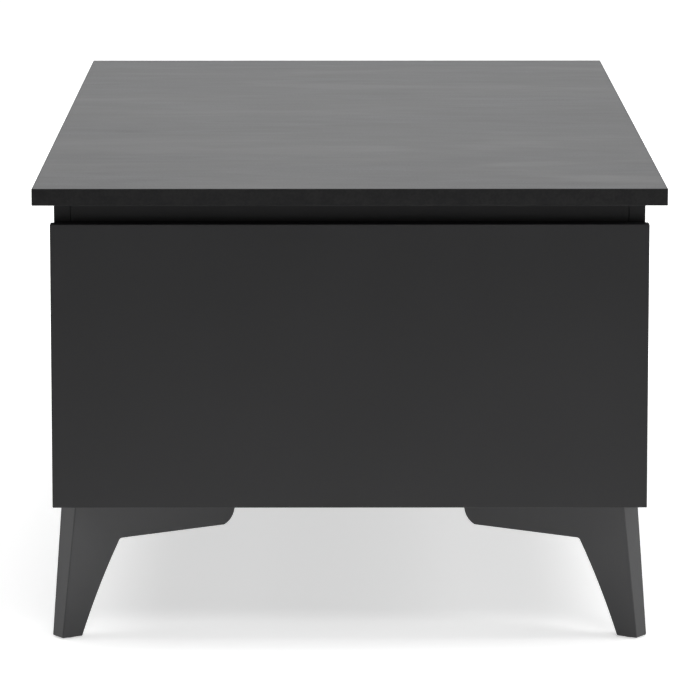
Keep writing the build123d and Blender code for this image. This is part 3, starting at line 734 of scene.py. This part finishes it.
# ---- sub-assemblies ------------------------------------------------------------------------------
@dataclass
class SubAssembly:
    """A group of pieces that are dressed and detailed together."""

    paintbox: Paintbox

    def wear(self, surface: Surface, *nodes: str) -> None:
        """Gives CAD nodes a finish.

        Args:
            surface: the finish.
            *nodes: names of the nodes.
        """
        for node in nodes:
            self.paintbox.paint(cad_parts[node], surface)
            log.info("%s wears %s", node, surface.value.title)

    def settle(self, piece: bpy.types.Object, body: str, slot: str, *nodes: str) -> None:
        """Lets a finished piece ride on a body, in place of CAD nodes.

        Args:
            piece: the new piece.
            body: the body that it moves with.
            slot: the record's material slot; not used.
            *nodes: the CAD nodes that it stands for.
        """
        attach(piece, body)
        if nodes:
            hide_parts(*nodes)
        log.info("%s rides on %s, %d faces", piece.name, body, len(piece.data.polygons))

    def refit(self, name: str, node: str, body: str, slot: str, form: Turned, surface: Surface) -> None:
        """Puts a detailed turned piece in place of each solid of a CAD node.

        Args:
            name: name of the new piece.
            node: the CAD node with the plain solids.
            body: the body that it moves with.
            slot: the record's material slot.
            form: the detailed form.
            surface: its finish.
        """
        seats = [solid.seat(form.head_height * MM) for solid in round_solids(node)]
        piece = form.make(name, seats, self.paintbox.take(surface))
        self.settle(piece, body, slot, node)


SMALL_SCREW = Turned(3.8, 1.8, 1.0, 1.98, 12.0, Drive.CROSS, 3.6, 1.1, 1.8)


@dataclass
class Tabletop(SubAssembly):
    """The slab with its edge band, which lifts with the brackets below it."""

    def build(self) -> None:
        """Dresses the slab."""
        self.wear(Surface.SLATE, "top_slab")
        self.wear(Surface.EDGE_BAND, "top_edging")


@dataclass
class Carcass(SubAssembly):
    """The box under the top: boards, cam locks, dowels and bumpers."""

    boards: tuple[str, ...] = ("side_panel_left", "side_panel_right", "bottom_panel", "front_rail",
                               "drawer_cover", "partition", "end_wall")
    cam: Turned = Turned(7.5, 12.5, 0.25, 0.0, 0.0, Drive.CROSS, 8.4, 3.0, facets=40)
    bumper: Turned = Turned(5.0, 1.2, 0.55, 0.0, 0.0, facets=28)
    partition_y: float = -0.116
    panel_screw: Turned = Turned(3.8, 1.8, 1.0, 1.98, 26.0, Drive.CROSS, 3.6, 1.1, 1.8)

    def build(self) -> None:
        """Dresses the boards and adds their fittings."""
        self.wear(Surface.MELAMINE, *self.boards)
        self.wear(Surface.FOIL, "end_panel")
        self.wear(Surface.ZINC, "cam_bolts")
        self.wear(Surface.BEECH, "carcass_dowels")
        self.refit("screws_end_panel", "end_panel_screws", "carcass", "zinc_steel", self.panel_screw,
                   Surface.ZINC)
        self.refit("bumpers_lid", "lid_bumpers", "carcass", "bumper_rubber", self.bumper, Surface.RUBBER)
        self.refit("bumpers_drawer", "drawer_bumpers", "carcass", "bumper_rubber", self.bumper,
                   Surface.RUBBER)
        self.fit_cams()

    def fit_cams(self) -> None:
        """Replaces the cam locks by discs with a cross slot, sunk flush into the boards."""
        seats = []
        for solid in round_solids("cam_locks"):
            upper = solid.axis == 1 and abs(solid.low.y - self.partition_y) > self.cam.head_height * MM
            seats.append(solid.seat(self.cam.head_height * MM, upper))
        piece = self.cam.make("cams_slotted", seats, self.paintbox.take(Surface.ZINC))
        self.settle(piece, "carcass", "zinc_steel", "cam_locks")


@dataclass
class Legs(SubAssembly):
    """Four splayed legs under the corners, their screws and glides."""

    corners: tuple[str, ...] = ("front_left", "front_right", "rear_left", "rear_right")
    screw: Turned = Turned(5.0, 3.0, 0.7, 2.48, 45.0, Drive.HEX, 4.6, 1.8, 2.4)
    glide: Turned = Turned(6.5, 1.0, 0.25, 2.0, 9.0, facets=32)

    def build(self) -> None:
        """Dresses the legs and refits what is screwed and pegged into them."""
        self.wear(Surface.LEG, *(f"leg_{corner}" for corner in self.corners))
        self.refit("screws_leg", "leg_screws", "carcass", "zinc_steel", self.screw, Surface.ZINC)
        self.refit("glides_foot", "foot_glides", "carcass", "glide_plastic", self.glide, Surface.GLIDE)


@dataclass
class Drawer(SubAssembly):
    """The drawer box behind its front."""

    boards: tuple[str, ...] = ("drawer_inner_front", "drawer_back", "drawer_side_left",
                               "drawer_side_right", "drawer_bottom")
    front_screw: Turned = Turned(3.8, 1.8, 1.0, 1.98, 22.0, Drive.CROSS, 3.6, 1.1, 1.8)
    box_screw: Turned = Turned(3.8, 1.8, 0.8, 1.98, 30.0, Drive.CROSS, 3.6, 1.1, 1.8)

    def build(self) -> None:
        """Dresses the drawer and refits its screws."""
        self.wear(Surface.FOIL, "drawer_front")
        self.wear(Surface.DRAWER_BOARD, *self.boards)
        self.refit("screws_drawer_front", "drawer_front_screws", "drawer", "zinc_steel",
                   self.front_screw, Surface.ZINC)
        self.refit("screws_drawer_box", "drawer_box_screws", "drawer", "zinc_steel", self.box_screw,
                   Surface.ZINC)


@dataclass
class Runners(SubAssembly):
    """Three nested channels on each side of the drawer."""

    screw: Turned = Turned(3.8, 1.0, 0.5, 1.98, 11.2, Drive.CROSS, 3.4, 0.6, 1.8)

    def build(self) -> None:
        """Dresses the channels and refits their screws."""
        for side in ("left", "right"):
            self.wear(Surface.ROLLED_ZINC, f"runner_cabinet_{side}", f"runner_middle_{side}",
                      f"runner_drawer_{side}")
        self.refit("screws_runner_cabinet", "runner_screws_cabinet", "carcass", "zinc_steel", self.screw,
                   Surface.ZINC)
        self.refit("screws_runner_drawer", "runner_screws_drawer", "drawer", "zinc_steel", self.screw,
                   Surface.ZINC)


@dataclass
class LiftMechanism(SubAssembly):
    """Wall plates, parallel arms, lid brackets and springs at both ends of the box."""

    rivet: Turned = Turned(7.0, 1.6, 0.9, 4.0, 7.6, facets=36)
    lid_rivet: Turned = Turned(7.0, 1.6, 0.9, 4.0, 3.4, facets=36)
    wire: BentWire = BentWire(0.9)
    coil_radius: float = 6.1 * MM
    coil_turns: int = 84
    coil_setback: float = 14.0 * MM
    hook_radius: float = 4.08 * MM
    hook_reach: float = 5.25 * MM
    open_share: float = 0.744
    steps_per_turn: int = 16

    def build(self) -> None:
        """Dresses the mechanism, refits its rivets and winds its springs."""
        for end in ("near", "far"):
            self.wear(Surface.POWDER, f"lift_base_{end}", f"front_arm_{end}", f"rear_arm_{end}",
                      f"lid_bracket_{end}")
        self.wear(Surface.ZINC, "stop_pins", "spring_pins", "spring_anchors")
        self.wear(Surface.NYLON, "base_washers", "lid_washers")
        self.refit("screws_lift_base", "lift_base_screws", "carcass", "zinc_steel", SMALL_SCREW, Surface.ZINC)
        self.refit("screws_lid_bracket", "lid_bracket_screws", "lid", "zinc_steel", SMALL_SCREW,
                   Surface.ZINC)
        self.refit("rivets_base", "base_rivets", "carcass", "zinc_steel", self.rivet, Surface.ZINC)
        seats = [solid.seat(self.lid_rivet.head_height * MM, upper)
                 for solid in round_solids("lid_rivets") for upper in (False, True)]
        piece = self.lid_rivet.make("rivets_lid", seats, self.paintbox.take(Surface.ZINC))
        self.settle(piece, "lid", "zinc_steel", "lid_rivets")
        pins, anchors = round_solids("spring_pins"), round_solids("spring_anchors")
        for end, index in (("near", 0), ("far", 1)):
            self.wind_spring(end, pins[index].middle, anchors[index].middle)

    def wind_spring(self, end: str, pin: Vector, anchor: Vector) -> None:
        """Winds one spring between its pins.

        Args:
            end: near or far.
            pin: middle of the pin on the arm.
            anchor: middle of the pin on the wall plate.
        """
        node = f"lift_spring_{end}"
        low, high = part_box(node)
        line_y = (low.y + high.y) / 2
        start, stop = Vector((pin.x, line_y, pin.z)), Vector((anchor.x, line_y, anchor.z))
        way = (stop - start).normalized()
        length = (stop - start).length
        turn = Matrix((way.cross(Vector((0, 1, 0))), Vector((0, 1, 0)), way)).transposed()
        points = [start + turn @ p for p in self.spring_line(length)]
        piece = self.wire.make(f"spring_wound_{end}", points, self.paintbox.take(Surface.SPRING))
        self.settle(piece, "carcass", "spring_steel", node)
        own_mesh(piece)

    def spring_line(self, length: float) -> list[Vector]:
        """Points of the wire along Z, from the hook on the arm's pin to the hook on the anchor.

        Args:
            length: distance between the pins' middles.

        Returns:
            The wire's centre line.
        """
        first = self.hook()
        steps = self.coil_turns * self.steps_per_turn
        coil_length = length - 2 * self.coil_setback
        coil = []
        for i in range(steps + 1):
            angle = math.tau * i / self.steps_per_turn
            coil.append(Vector((self.coil_radius * math.cos(angle), self.coil_radius * math.sin(angle),
                                self.coil_setback + coil_length * i / steps)))
        last = [Vector((p.x, -p.y, length - p.z)) for p in reversed(first)]
        return first + coil + last

    def hook(self) -> list[Vector]:
        """Hook round a pin at the origin that leads to the coil's first turn, in the XZ plane.

        The hook is longer than it is wide, so it still clears the pin when the spring is short.

        Returns:
            The hook's centre line.
        """
        ring = []
        count = 18
        for i in range(count + 1):
            angle = math.radians(40.0 + 290.0 * i / count)
            ring.append(Vector((-self.hook_radius * math.sin(angle), 0.0, self.hook_reach * math.cos(angle))))
        lead = [Vector((self.hook_radius * 0.75, 0.0, self.coil_setback * 0.45)),
                Vector((self.coil_radius * 0.95, 0.0, self.coil_setback * 0.8))]
        return ring + lead


# ---- studio --------------------------------------------------------------------------------------
@dataclass(frozen=True)
class Softbox:
    """A rectangular light."""

    name: str
    place: tuple[float, float, float]
    aim: tuple[float, float, float]
    size: tuple[float, float]
    power: float
    spread_degrees: float = 180.0

    def build(self) -> None:
        """Hangs the light and turns it to its aim."""
        data = bpy.data.lights.new(self.name, "AREA")
        data.shape = "RECTANGLE"
        data.size, data.size_y = self.size
        data.energy = self.power
        data.spread = math.radians(self.spread_degrees)
        lamp = bpy.data.objects.new(self.name, data)
        lamp.location = self.place
        lamp.rotation_euler = (Vector(self.aim) - Vector(self.place)).to_track_quat("-Z", "Y").to_euler()
        bpy.context.scene.collection.objects.link(lamp)


@dataclass
class Studio:
    """Floor, softboxes, surrounding light and camera."""

    paintbox: Paintbox
    floor_half: float = 20.0
    floor_glow: float = 0.54
    surround: float = 0.09
    camera_place: tuple[float, float, float] = (-0.0135, -5.1646, 1.0234)
    camera_pitch: float = 0.1601
    camera_yaw: float = 0.0030
    lens_mm: float = 251.1
    sensor_mm: float = 36.0
    lights: tuple[Softbox, ...] = (
        Softbox("overhead", (0.0, 1.4, 3.2), (0.0, 1.2, 0.0), (5.0, 5.0), 114.0),
        Softbox("behind", (0.0, 6.0, 3.6), (0.0, 5.6, 0.0), (7.0, 5.0), 100.0),
        Softbox("far_edge", (0.0, 2.4, 1.3), (0.0, 0.5, 0.44), (1.6, 0.6), 5.6),
        Softbox("key", (0.9, -3.4, 3.2), (0.0, -0.58, 0.2), (2.0, 1.2), 36.0),
        Softbox("floor_in_front", (0.25, -0.84, 0.75), (0.25, -0.84, 0.0), (1.4, 0.12), 2.1, 30.0),
        Softbox("left_side", (-4.0, -0.4, 1.4), (0.0, 0.0, 0.3), (3.0, 2.4), 36.0),
        Softbox("right_side", (3.4, -0.9, 1.3), (0.0, 0.0, 0.3), (2.4, 2.0), 60.0),
    )

    def build(self) -> None:
        """Sets up everything round the table."""
        self.lay_floor()
        for light in self.lights:
            light.build()
        world = bpy.data.worlds.new("studio_air")
        world.use_nodes = True
        air = next(n for n in world.node_tree.nodes if n.type == "BACKGROUND")
        air.inputs["Color"].default_value = linear("ffffff")
        air.inputs["Strength"].default_value = self.surround
        bpy.context.scene.world = world
        bpy.context.scene.view_settings.view_transform = "Standard"
        self.place_camera()

    def lay_floor(self) -> None:
        """Lays a wide sheet of pale paper, lit evenly from below all over so its shadows stay pale."""
        half = self.floor_half
        mesh = bpy.data.meshes.new("studio_floor")
        mesh.from_pydata([(-half, -half, 0.0), (half, -half, 0.0), (half, half, 0.0), (-half, half, 0.0)],
                         [], [(0, 1, 2, 3)])
        floor = bpy.data.objects.new("studio_floor", mesh)
        bpy.context.scene.collection.objects.link(floor)
        self.paintbox.paint(floor, Surface.PAPER)
        paper = self.paintbox.take(Surface.PAPER).node_tree
        shader = next(n for n in paper.nodes if n.type == "BSDF_PRINCIPLED")
        shader.inputs["Emission Color"].default_value = linear("ffffff")
        shader.inputs["Emission Strength"].default_value = self.floor_glow

    def place_camera(self) -> None:
        """Places a long lens in front of the drawer, a little above the top."""
        data = bpy.data.cameras.new("studio_camera")
        data.lens = self.lens_mm
        data.sensor_width = self.sensor_mm
        data.clip_end = 100.0
        camera = bpy.data.objects.new("studio_camera", data)
        camera.location = self.camera_place
        camera.rotation_euler = (math.pi / 2 - self.camera_pitch, 0.0, -self.camera_yaw)
        bpy.context.scene.collection.objects.link(camera)
        bpy.context.scene.camera = camera


def main() -> None:
    """Builds the studio and every sub-assembly."""
    logging.basicConfig(level=logging.INFO, format="%(name)s: %(message)s")
    paintbox = Paintbox()
    Studio(paintbox).build()
    for part in (Tabletop, Carcass, Legs, Drawer, Runners, LiftMechanism):
        part(paintbox).build()


if __name__ == "__main__":
    main()
